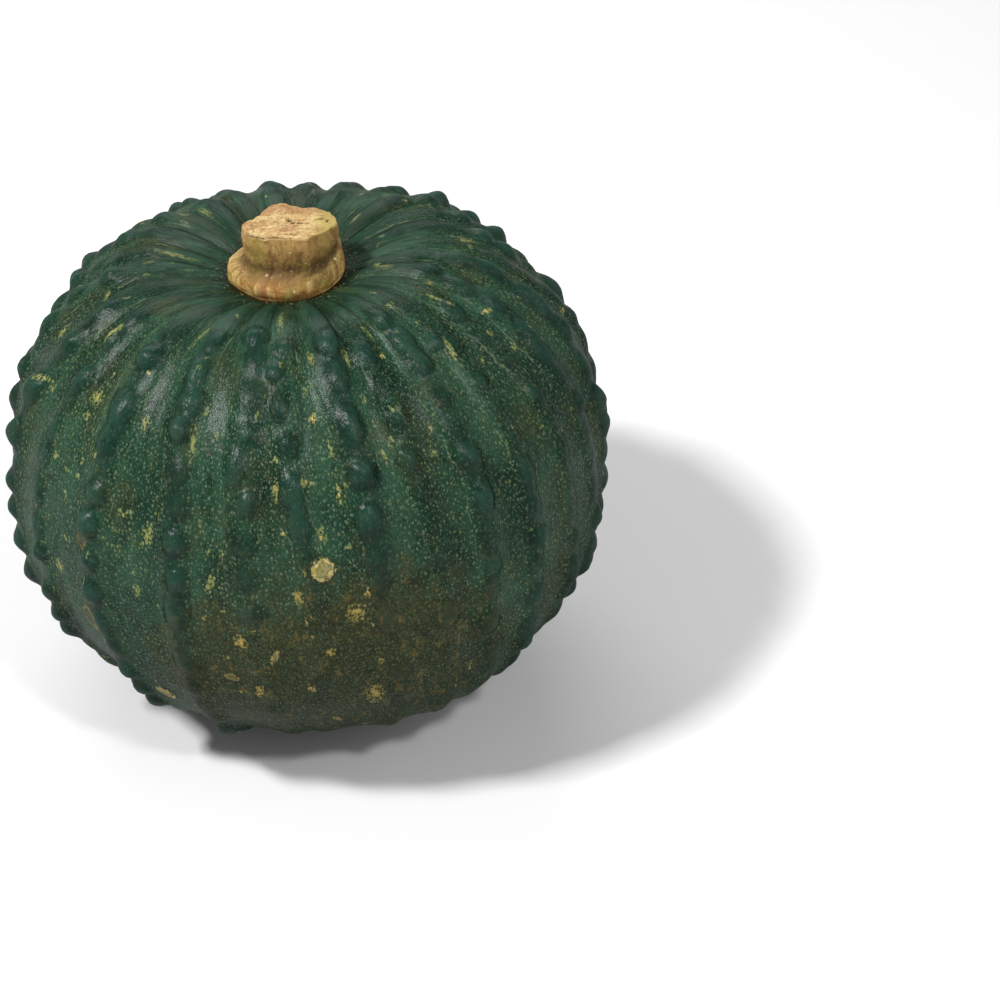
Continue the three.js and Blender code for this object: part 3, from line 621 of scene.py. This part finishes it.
def make_stem():
    heading = np.linspace(0, 2 * math.pi, STEM_COLUMNS, endpoint=False)[None]
    side = stem_profile(STEM_SIDE_ROWS)
    inner = np.linspace(1, 0, CUT_ROWS + 1)[1:-1] ** 0.8
    cut = np.stack([np.full(len(inner), STEM_HEIGHT), np.ones(len(inner)), inner * 0.99], -1)
    levels = np.concatenate([side, cut])
    height, neck, size = (levels[:, index, None] for index in range(3))
    is_cut = np.arange(len(levels))[:, None] >= STEM_SIDE_ROWS
    radius = lerp(outline_radius(COLLAR_OUTLINE, heading), outline_radius(NECK_OUTLINE, heading), neck) * size
    around = np.stack(np.broadcast_arrays(16 * np.cos(heading), 16 * np.sin(heading), height), -1)
    on_roll = np.broadcast_to(1 - smooth(neck, 0.15, 0.9), radius.shape)
    sunk = np.where(is_cut, 0, FOOT_SPREAD * (1 - smooth(height, 0.9, 3.8)))
    radius = radius + sunk + np.where(is_cut, 0, stem_relief(around, height, on_roll))
    edge = 0.3 * layered_noise(around[:1] * (0.22, 0.22, 0), 18, 3)
    radius = radius + np.where(is_cut, edge * size, edge * smooth(height, 0.8 * STEM_HEIGHT, STEM_HEIGHT))
    middle = neck * (0.6 + 0.4 * height / STEM_HEIGHT)
    x = middle * NECK_OFFSET[0] + radius * np.cos(heading)
    y = middle * NECK_OFFSET[1] + radius * np.sin(heading)
    climb_heading, climb_spread, climb_height = COLLAR_CLIMB
    climb = climb_height * smooth(height, 1.5, 6) * smooth(STEM_HEIGHT - height, 3, 10)
    corner_heading, corner_spread, corner_height = CUT_CORNER
    torn = corner_height * size**2 * near_heading(heading, corner_heading, corner_spread)
    ragged = 0.35 * size * layered_noise(around[:1] * (0.22, 0.22, 0), 19, 2)
    tilt = smooth(height, 0.8 * STEM_HEIGHT, 0.97 * STEM_HEIGHT)
    z = height + tilt * (CUT_TILT[0] * x + CUT_TILT[1] * y + torn + ragged)
    z = z + climb * near_heading(heading, climb_heading, climb_spread)
    relief, dark = cut_relief(x, y, np.broadcast_to(size, x.shape))
    z = z + np.where(is_cut, relief, 0)
    local = np.stack([x, y, z + SEAT_HEIGHT + STEM_GAP], -1)
    # the waist's dark band: partly dirt, partly painted shade in the hollow over the collar
    waist_height, waist_reach = WAIST
    waist = np.where(is_cut, 0, np.exp(-(((height - waist_height - 0.5 * climb) / waist_reach) ** 2)))

    def field(values, top, bottom=0.0):
        return top, np.broadcast_to(values, x.shape)[::-1].astype(float), bottom

    places = np.where(is_cut[..., None], np.stack([x, y, z], -1), around)
    fields = {
        "around": (np.array((*NECK_OFFSET, STEM_HEIGHT)), places[::-1], np.zeros(3)),
        "cut": field(is_cut, 1.0),
        "roll": field(on_roll, 0.0, 1.0),
        "waist": field(waist, 0.0),
        "dark": field(np.where(is_cut, dark, 0), 0.0),
        "level": field(height / STEM_HEIGHT, 1.0),
    }
    top = place(np.array((*NECK_OFFSET, local[-1, :, 2].mean())))
    bottom = place(np.array((0.0, 0.0, SEAT_HEIGHT)))
    piece = add_mesh("kabocha_stem", top, place(local)[::-1], bottom, fields)
    piece.data.materials.append(stem_material())
    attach(piece, "root")
    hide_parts("stem")


# ---------------------------------------------------------------- materials

class Field:
    """What a node gives out. Sums, products and steps of it are further nodes."""

    def __init__(self, paint, socket):
        self.paint = paint
        self.socket = socket

    def __add__(self, other):
        return self.paint.math("ADD", self, other)

    def __mul__(self, other):
        return self.paint.math("MULTIPLY", self, other)

    def __truediv__(self, other):
        return self.paint.math("DIVIDE", self, other)

    def greater(self, other):
        return self.paint.math("MAXIMUM", self, other)

    def apart(self, middle):
        """How far it is from a middle value, to either side."""
        return self.paint.math("ABSOLUTE", self + -middle)

    def step(self, low, high, start=0.0, end=1.0):
        """A smooth step from start to end, as this goes from low to high."""
        if low > high:
            low, high, start, end = high, low, end, start
        inputs = {"Value": self, "From Min": low, "From Max": high, "To Min": start, "To Max": end}
        return self.paint.node("MapRange", inputs, "Result", interpolation_type="SMOOTHSTEP")


class Paint:
    """A short way to write a material's nodes. Fields or plain values go into them."""

    def __init__(self, name):
        self.material = bpy.data.materials.new(name)
        self.material.use_nodes = True
        self.nodes = self.material.node_tree.nodes
        self.links = self.material.node_tree.links

    def put(self, inputs, node):
        """Fills a node's inputs, given by name or number."""
        for key, value in inputs.items():
            if isinstance(value, Field):
                self.links.new(value.socket, node.inputs[key])
            else:
                node.inputs[key].default_value = value

    def shade(self, inputs):
        """Fills the shader's own inputs, and returns the finished material."""
        self.put(inputs, self.nodes["Principled BSDF"])
        return self.material

    def node(self, kind, inputs, *outputs, **settings):
        """Makes a node, and returns the outputs asked for."""
        node = self.nodes.new("ShaderNode" + kind)
        for name, value in settings.items():
            setattr(node, name, value)
        self.put(inputs, node)
        fields = [Field(self, node.outputs[key]) for key in outputs]
        return fields if len(fields) > 1 else fields[0]

    def number(self, name):
        return self.node("Attribute", {}, "Fac", attribute_name=name)

    def vector(self, name):
        return self.node("Attribute", {}, "Vector", attribute_name=name)

    def spot(self):
        """Where a point lies on its piece, in mm."""
        return self.stretch(self.node("TexCoord", {}, "Object"), (1 / MM, 1 / MM, 1 / MM))

    def parts(self, vector):
        return self.node("SeparateXYZ", {0: vector}, 0, 1, 2)

    def math(self, operation, a, b=0.0):
        return self.node("Math", {0: a, 1: b}, 0, operation=operation)

    def length(self, a, b):
        return self.math("SQRT", a * a + b * b)

    def stretch(self, vector, factors):
        """The vector with each part multiplied by its own factor."""
        return self.node("VectorMath", {0: vector, 1: factors}, 0, operation="MULTIPLY")

    def shake(self, vector, scale, reach):
        """The vector moved by up to reach in every part, by noise of that scale."""
        noise = self.node("TexNoise", {"Vector": vector, "Scale": scale, "Detail": 2}, "Color")
        shift = self.node("VectorMath", {0: noise, 1: (0.5, 0.5, 0.5)}, 0, operation="SUBTRACT")
        moved = {0: shift, 1: (2 * reach, 2 * reach, 2 * reach), 2: vector}
        return self.node("VectorMath", moved, 0, operation="MULTIPLY_ADD")

    def noise(self, vector, scale, detail, roughness, factors=None):
        """Noise over a vector, which is first stretched if factors are given."""
        if factors:
            vector = self.stretch(vector, factors)
        inputs = {"Vector": vector, "Scale": scale, "Detail": detail, "Roughness": roughness}
        return self.node("TexNoise", inputs, "Fac")

    def cells(self, flat, scale):
        """In two dimensions: distance to the nearest of scattered points, and two numbers of its own."""
        inputs = {"Vector": flat, "Scale": scale}
        distance, own = self.node("TexVoronoi", inputs, "Distance", "Color", voronoi_dimensions="2D")
        return distance, *self.node("SeparateColor", {0: own}, 0, 1)

    def mix(self, a, b, share):
        return self.node("Mix", {"Factor": share, 6: a, 7: b}, 2, data_type="RGBA")

    def lay(self, colour, *layers):
        """Colours laid over the first one in turn, each as far as its mask says."""
        for over, mask in layers:
            colour = self.mix(colour, over, mask)
        return colour

    def emboss(self, height, distance, strength):
        inputs = {"Strength": strength, "Distance": distance, "Height": height}
        return self.node("Bump", inputs, "Normal")


def tone(red, green, blue):
    """A colour from its 0 to 255 screen values, as the shader wants it."""
    parts = [value / 255 for value in (red, green, blue)]
    return tuple(p / 12.92 if p <= 0.04045 else ((p + 0.055) / 1.055) ** 2.4 for p in parts) + (1.0,)


# Colours of the rind, from its darkest green, which also serves as painted shade, to what lies on it.
SHADE_AND_DARK_TONE = tone(10, 24, 14)
DEEP_GREEN = tone(16, 40, 27)
LEAF_GREEN = tone(35, 63, 46)
BLUE_GREEN = tone(20, 48, 42)
WAX_AND_HIGHLIGHT = tone(42, 70, 60)
OLIVE = tone(52, 64, 36)
BRONZE = tone(46, 48, 25)
RUST = tone(94, 76, 38)
CHAFF = tone(104, 88, 60)
OLD_GOLD = tone(104, 88, 42)
BRIGHT_GOLD = tone(156, 128, 62)
DOT_GREEN = tone(86, 110, 92)
DOT_OLIVE = tone(102, 112, 66)
PAINTED_SHEEN = tone(104, 114, 88)
FRINGE = tone(118, 122, 68)
YELLOW = tone(160, 150, 84)
STRAW = tone(204, 160, 100)
SCAR_CREAM = tone(184, 168, 114)
SCAR_GOLD = tone(140, 134, 88)
SCAR_BROWN = tone(88, 76, 46)
LEEK = tone(130, 124, 46)
SOIL = tone(38, 34, 20)
GRIT = tone(150, 140, 100)


def rind_material():
    p = Paint("rind")
    skin = p.vector("unrolled")
    flat = p.vector("flat")
    from_stem = p.number("from_stem")
    ridge = p.number("ridge")
    bump = p.number("bump")
    raised = ridge + bump
    bump = bump * p.noise(skin, 0.22, 3, 0.6).step(0.3, 0.65, 0.3, 1.3)
    clouds = p.noise(skin, 0.07, 4, 0.6, (1, 1, 0.35))
    threads = p.noise(skin, 0.55, 3, 0.6, (1, 1, 0.12))
    waves = ridge + p.noise(skin, 0.16, 3, 0.55, (1, 1, 0.6)) * 1.6
    ragged = p.noise(flat, 1.1, 4, 0.7, (1, 0.6, 1))

    # Bronze where the fruit has weathered, low on its front, with rusty stains.
    patches = p.noise(skin, 0.11, 4, 0.65)
    bronzed = (p.number("weathered") + patches * 0.9).step(0.62, 1.15) * 0.85
    stains = p.noise(skin, 0.3, 4, 0.65).step(0.56, 0.72) * (bronzed * 0.5 + 0.1)

    # Pale dots, fewer near the stem and on what stands out, which run together inside flecks.
    across, along, warmth = p.parts(p.vector("fleck"))
    reach = p.length(across, along)
    inside = reach.step(1.5, 0.25)
    crowd = p.noise(skin, 0.05, 3, 0.5)
    room = from_stem.step(22, 40) * raised.step(2.4, 0.7, 0.18, 1.0)
    shaken = p.shake(p.stretch(flat, (1.0, 0.8, 1.0)), 0.7, 0.5)
    distance, pick, size = p.cells(shaken, 0.78)
    radius = (size + crowd * 0.8).step(0.3, 1.5, 0.1, 0.31) + inside * 0.18
    shown = (pick.step(0.05, 0.6, 0.3, 0.95) * room).greater(inside)
    dot = (distance / radius).step(1.2, 0.6) * shown
    dotted = from_stem.step(26, 62, 0.42, 0.62) * bronzed.step(0.2, 0.8, 1.0, 0.6)
    tint = p.mix(DOT_GREEN, DOT_OLIVE, (crowd + pick * 0.4).step(0.65, 1.0))
    tint = p.mix(tint, DOT_OLIVE, bronzed * 0.8)
    fine, fine_pick, _ = p.cells(p.stretch(shaken, (1.6, 1.5, 1.0)), 0.9)
    chaff, chaff_pick, _ = p.cells(shaken, 0.42)

    # Old gold where it weathered, and painted sheen: thin pale lines here and there along the shoulders of
    # the ridges, standing in for light caught at a low angle.
    gilt = p.noise(skin, 0.26, 5, 0.72, (1, 1, 0.6)).step(0.56, 0.64)
    broken = p.noise(skin, 0.14, 4, 0.7, (1, 1, 0.7)).step(0.5, 0.62)
    sheen_lines = waves.apart(1.45).step(0.09, 0.01) * broken * from_stem.step(100, 55, 0.12, 0.42)

    # Ground: deep and leaf green in clouds, bluer on what stands out, with darker blotches at random; painted
    # shade towards the underside, at the feet of the bumps and in creases near the stem; a waxy bloom with a
    # painted highlight on the bump tops.
    # painted shade: high in the creases between the ridges
    crease_shade = (ridge + clouds * 1.2).step(1.2, 0.6)
    ground = p.lay(
        p.mix(DEEP_GREEN, LEAF_GREEN, clouds.step(0.36, 0.66)),
        (OLIVE, threads.step(0.5, 0.8) * 0.4),
        (BRONZE, p.noise(skin, 0.055, 3, 0.6).step(0.48, 0.66) * 0.5),
        (BLUE_GREEN, raised.step(0.8, 2.4) * 0.5),
        (BRONZE, bronzed),
        (RUST, stains),
        # darker blotches at random, the rind's own tone
        (SHADE_AND_DARK_TONE, p.noise(skin, 0.2, 4, 0.6).step(0.5, 0.68) * 0.55),
        # painted shade: darker towards the underside
        (SHADE_AND_DARK_TONE, from_stem.step(86, 118) * 0.48),
        # painted shade at the feet of the bumps
        (SHADE_AND_DARK_TONE, bump.step(0.0, 0.2) * bump.step(0.9, 0.3) * 0.4),
        # partly waxy bloom, partly a painted highlight on the bump tops
        (WAX_AND_HIGHLIGHT, bump.step(1.0, 2.4) * 0.25),
        # painted shade in the creases, strongest near the stem
        (SHADE_AND_DARK_TONE, crease_shade * from_stem.step(60, 30, 0.1, 0.6)),
        (CHAFF, chaff.step(0.26, 0.08) * chaff_pick.step(0.82, 0.95) * 0.24),
        (DOT_GREEN, fine.step(0.36, 0.14) * (fine_pick.step(0.2, 0.9) * room) * 0.4),
        (tint, dot * dotted),
        (OLD_GOLD, gilt * (bronzed * 0.48)),
        # painted sheen along the shoulders of the ridges
        (PAINTED_SHEEN, sheen_lines),
    )

    # Flecks: a ragged core, thin arms and run-together dots, from yellow to straw.
    torn = reach.step(1.25, 0.1) + (ragged + -0.5) * 2.8
    veins = p.noise(flat, 0.5, 2, 0.5, (1, 0.55, 1))
    arms = veins.apart(0.5).step(0.035, 0.008) * inside.step(0.2, 0.6)
    fleck = torn.step(0.72, 1.0).greater(dot * inside.step(0.1, 0.5)).greater(arms * 0.8)
    core = p.mix(YELLOW, STRAW, (warmth + ragged * 1.2).step(0.9, 1.5))
    warm = p.mix(FRINGE, core, torn.step(0.75, 1.2) * (warmth * 0.5 + 0.5))
    warm = p.mix(warm, BRIGHT_GOLD, bronzed * 0.7)

    # Scars: pale cork with darker rings; those less pale keep a green middle.
    across, along, paleness = p.parts(p.vector("scar"))
    span = p.length(across, along)
    curl = span + (p.noise(flat, 0.45, 2, 0.5) + -0.5) * 1.2
    span = span + (ragged + -0.5) * 1.8
    middle = span.step(0.86, 0.6) * paleness.step(0.75, 0.3)
    scar = span.step(1.12, 0.85) * (middle * -0.85 + 1.0)
    streaks = p.noise(flat, 1.4, 3, 0.7, (1, 0.4, 1)) + paleness * 0.06
    cork = p.lay(
        p.mix(SCAR_GOLD, SCAR_CREAM, (curl + paleness * 0.2).step(0.75, 1.05)),
        (LEEK, p.noise(flat, 0.3, 2, 0.5).step(0.5, 0.62) * 0.6),
        (SCAR_BROWN, p.math("SINE", curl * 13.0).step(0.1, 0.9) * 0.5),
        (SCAR_BROWN, streaks.step(0.52, 0.4) * 0.8),
    )

    # Soil in the seam round the collar, with grit scattered near it.
    gap = p.number("collar_gap")
    spot = p.spot()
    soil = (gap + p.noise(spot, 0.5, 4, 0.7) * -5.5).step(1.0, -1.0)
    close = (gap + p.noise(spot, 0.2, 3, 0.6) * -16).step(3.0, -7.0)
    grit = p.noise(spot, 1.15, 2, 0.6).step(0.62, 0.7) * close

    # Over the ground: flecks, a bruised border of scars, the scars, the blossom's, soil, grit.
    colour = p.lay(
        ground,
        (warm, fleck * (from_stem.step(26, 50, 0.45, 0.62) + warmth * 0.3)),
        (SOIL, span.step(1.6, 1.0) * 0.4),
        (cork, scar * (paleness * 0.62 + 0.3)),
        (SCAR_BROWN, (from_stem + ragged * 2.0).step(176.4, 177.2) * 0.9),
        (SOIL, soil * 0.85),
        (GRIT, grit * 0.75),
    )

    grain = p.noise(skin, 1.6, 3, 0.6)
    height = p.noise(skin, 0.35, 3, 0.55) * 0.5 + (dot * 0.12 + grain * 0.16)
    height += scar * (ragged * 0.9 + 0.3)
    height += bump.step(0.05, 1.3) * 0.4
    height += waves.step(1.0, 2.3) * 0.7
    height += threads * from_stem.step(48, 20, 0.2, 1.1)
    normal = p.emboss(height, 1.0 * MM, 0.5)
    rough = grain.step(0.3, 0.75, 0.25, 0.38) + fleck.greater(soil.greater(scar)) * 0.25
    # The gloss is all the coat's, which stays weak where the skin is seen at a low angle.
    return p.shade({
        "Base Color": colour, "Roughness": rough, "Specular IOR Level": 0.0, "Normal": normal,
        "Coat Weight": 0.26, "Coat IOR": 1.4, "Coat Roughness": 0.27, "Coat Normal": normal,
    })


# Colours of the stem: the collar's roll, the neck's bark, the cut, and what is dark or pale on them.
CREAM = tone(196, 170, 106)
OCHRE = tone(162, 112, 52)
CLAY = tone(158, 104, 66)
BARK_TAN = tone(158, 126, 74)
BARK_BROWN = tone(112, 82, 40)
CUT_CREAM = tone(184, 162, 112)
CUT_STRAW = tone(162, 132, 86)
CUT_APRICOT = tone(146, 108, 70)
CUT_BROWN = tone(118, 88, 50)
CUT_PALE = tone(204, 186, 138)
UMBER = tone(62, 48, 26)
SPECK = tone(226, 214, 178)


def stem_material():
    p = Paint("cork")
    around = p.vector("around")
    across, back, _ = p.parts(around)
    roll, waist, dark, level = (p.number(name) for name in ("roll", "waist", "dark", "level"))
    stripes = p.noise(around, 0.5, 4, 0.7, (1, 1, 0.1))
    patches = p.noise(around, 0.13, 3, 0.6, (1, 1, 0.6))
    blotches = p.noise(around, 0.22, 5, 0.7)
    mottle = stripes * 0.4 + p.noise(around, 0.34, 5, 0.75) * 0.6
    crumbs = p.noise(around, 0.8, 4, 0.75)

    # The collar: cream, ochre, green and clay blotches with faint stripes, browner above.
    collar = p.lay(
        p.mix(OCHRE, CREAM, mottle.step(0.44, 0.57)),
        (LEEK, patches.step(0.5, 0.66) * 0.75),
        (CLAY, patches.step(0.46, 0.34) * 0.7),
        (BARK_BROWN, mottle.step(0.44, 0.34) * 0.65),
        (BARK_BROWN, (level + blotches * 0.3).step(0.32, 0.5) * 0.7),
    )

    # The neck: tan bark, browner down to the waist, with a few long stripes.
    neck = p.lay(
        p.mix(BARK_TAN, BARK_BROWN, (blotches + level * -0.35).step(0.12, 0.42)),
        (LEEK, patches.step(0.52, 0.7) * 0.5),
        (CREAM, stripes.step(0.6, 0.72) * 0.35),
    )

    # Both, with the dark waist between them, partly dirt and partly painted shade, painted light on the
    # roll's left and right ends, crumbs and specks.
    side = p.lay(
        p.mix(neck, collar, roll),
        # dark waist: partly dirt, partly painted shade
        (UMBER, waist * blotches.step(0.25, 0.75, 0.55, 0.85)),
        # painted light: the roll's left and right ends lightened with cream
        (CREAM, across.apart(-1.0).step(9.0, 16.0) * roll * mottle.step(0.42, 0.56, 0.0, 0.7)),
        (CREAM, crumbs.step(0.56, 0.7) * 0.4),
        (BARK_BROWN, crumbs.step(0.46, 0.34) * 0.6),
        (SPECK, p.noise(around, 1.0, 1, 0.5).step(0.73, 0.77) * 0.75),
    )

    # The cut: cream and apricot wood in torn fibres, green at one side.
    fibres = p.noise(around, 0.9, 6, 0.75, (0.28, 1, 0.5))
    crumbled = p.noise(around, 1.3, 4, 0.8)
    cut = p.lay(
        p.mix(CUT_STRAW, CUT_CREAM, fibres.step(0.4, 0.6)),
        (CUT_APRICOT, p.noise(around, 0.16, 2, 0.5).step(0.46, 0.62) * 0.8),
        (CUT_APRICOT, (back + fibres * 5.0).step(5.0, 8.5) * 0.85),
        (CUT_BROWN, fibres.step(0.46, 0.36) * 0.9),
        (CUT_BROWN, crumbled.step(0.47, 0.38) * 0.75),
        (CUT_PALE, crumbled.step(0.55, 0.66) * 0.6),
        (UMBER, fibres.step(0.36, 0.28) * 0.7),
        (LEEK, across.step(8.0, 15.0) * crumbled.step(0.42, 0.56, 0.2, 0.75)),
        (UMBER, dark * 0.9),
    )

    fine = p.noise(around, 1.7, 4, 0.7)
    colour = p.mix(p.mix(side, cut, p.number("cut")), UMBER, fine.step(0.45, 0.25) * 0.5)
    return p.shade({
        "Base Color": colour,
        "Roughness": fine.step(0.3, 0.7, 0.62, 0.8),
        "Specular IOR Level": 0.25,
        "Normal": p.emboss(fine * 0.6 + stripes * 0.45, 0.6 * MM, 0.6),
    })


# ---------------------------------------------------------------- studio

FLOOR_CORNERS = [(-6, -6, 0), (6, -6, 0), (6, 6, 0), (-6, 6, 0)]
FLOOR_GREY = (0.62, 0.62, 0.62, 1)
LIGHTS_AIM = (0, 0, 0.07)
# Name, place and size in metres, and watts of each light.
LIGHTS = [
    ("key", (-0.85, -0.45, 1.45), (0.22, 0.22), 35),
    ("front", (0.6, -0.9, 1.4), (0.16, 0.16), 11),
    ("fill", (1.3, -0.5, 1.0), (1.2, 1.2), 5),
    ("back", (-0.2, 1.4, 1.2), (1.4, 0.8), 17),
]
# The room's light: from this height of view to that, it falls from the third number to the fourth.
SKY = {"From Min": 0.0, "From Max": 0.45, "To Min": 0.9, "To Max": 0.24}


def add_camera():
    """A level-headed camera that sees the fruit's centre at its place in the picture."""
    data = bpy.data.cameras.new("camera")
    data.lens = LENS
    data.sensor_width = SENSOR
    camera = linked("camera", data)
    level, drop = math.cos(CAMERA_ELEVATION), math.sin(CAMERA_ELEVATION)
    right, up, ahead = np.array(((1, 0, 0), (0, drop, level), (0, level, -drop)))
    scale = DISTANCE * SENSOR / LENS / PICTURE
    aside = (SQUASH_MIDDLE[0] - PICTURE / 2) * scale
    above = (PICTURE / 2 - SQUASH_MIDDLE[1]) * scale
    camera.location = CENTRE * MM - right * aside - up * above - ahead * DISTANCE
    camera.rotation_euler = (math.pi / 2 - CAMERA_ELEVATION, 0, 0)
    bpy.context.scene.camera = camera


def add_floor():
    mesh = bpy.data.meshes.new("floor")
    mesh.from_pydata(FLOOR_CORNERS, [], [(0, 1, 2, 3)])
    mesh.materials.append(Paint("paper").shade({"Base Color": FLOOR_GREY, "Roughness": 0.9}))
    floor = linked("floor", mesh)


def add_light(name, place, size, watts):
    data = bpy.data.lights.new(name, "AREA")
    data.shape = "RECTANGLE"
    data.size, data.size_y = size
    data.energy = watts
    light = linked(name, data)
    light.location = place
    away = np.array(place) - np.array(LIGHTS_AIM)
    flat = math.hypot(away[0], away[1])
    light.rotation_euler = (math.atan2(flat, away[2]), 0, math.atan2(away[0], -away[1]))


def add_sky():
    world = bpy.data.worlds.new("studio")
    world.use_nodes = True
    nodes, links = world.node_tree.nodes, world.node_tree.links
    background = nodes["Background"].inputs
    background["Color"].default_value = (1, 1, 1, 1)
    aim = nodes.new("ShaderNodeTexCoord")
    parts = nodes.new("ShaderNodeSeparateXYZ")
    sky = nodes.new("ShaderNodeMapRange")
    sky.interpolation_type = "SMOOTHSTEP"
    for name, value in SKY.items():
        sky.inputs[name].default_value = value
    links.new(aim.outputs["Generated"], parts.inputs[0])
    links.new(parts.outputs[2], sky.inputs["Value"])
    links.new(sky.outputs["Result"], background["Strength"])
    bpy.context.scene.world = world


bpy.context.scene.view_settings.view_transform = "Standard"

make_fruit(make_ridges())
make_stem()
add_floor()
for light in LIGHTS:
    add_light(*light)
add_sky()
add_camera()
